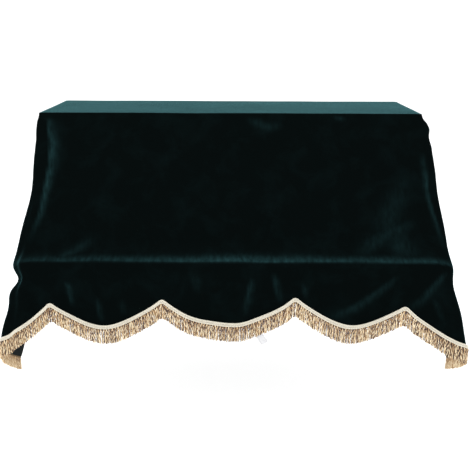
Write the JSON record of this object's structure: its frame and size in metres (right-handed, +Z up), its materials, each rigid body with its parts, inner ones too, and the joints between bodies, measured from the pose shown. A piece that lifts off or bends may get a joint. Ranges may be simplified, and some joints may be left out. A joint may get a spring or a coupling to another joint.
{
  "type": "piano cover",
  "caption": "Velvet cover that drapes over an upright piano, with a scalloped front hem, a woven braid and a twisted fringe.",
  "frame": {"origin": "middle of the underside of the top panel, where the piano's lid carries the cover", "axes": "+X to the right of someone facing the keyboard, +Y to the back, +Z up"},
  "size_m": [1.8208, 0.8427, 1.0481],
  "materials": {
    "velvet": "cut-pile velvet, dark green",
    "braid": "woven braid, ivory",
    "fringe": "twisted rayon strands, beige gold",
    "label": "satin ribbon, white"
  },
  "bodies": {
    "root": {"velvet_cover": "velvet", "braid_heading": "braid", "tassel_fringe": "fringe", "care_label": "label"}
  },
  "joints": []
}
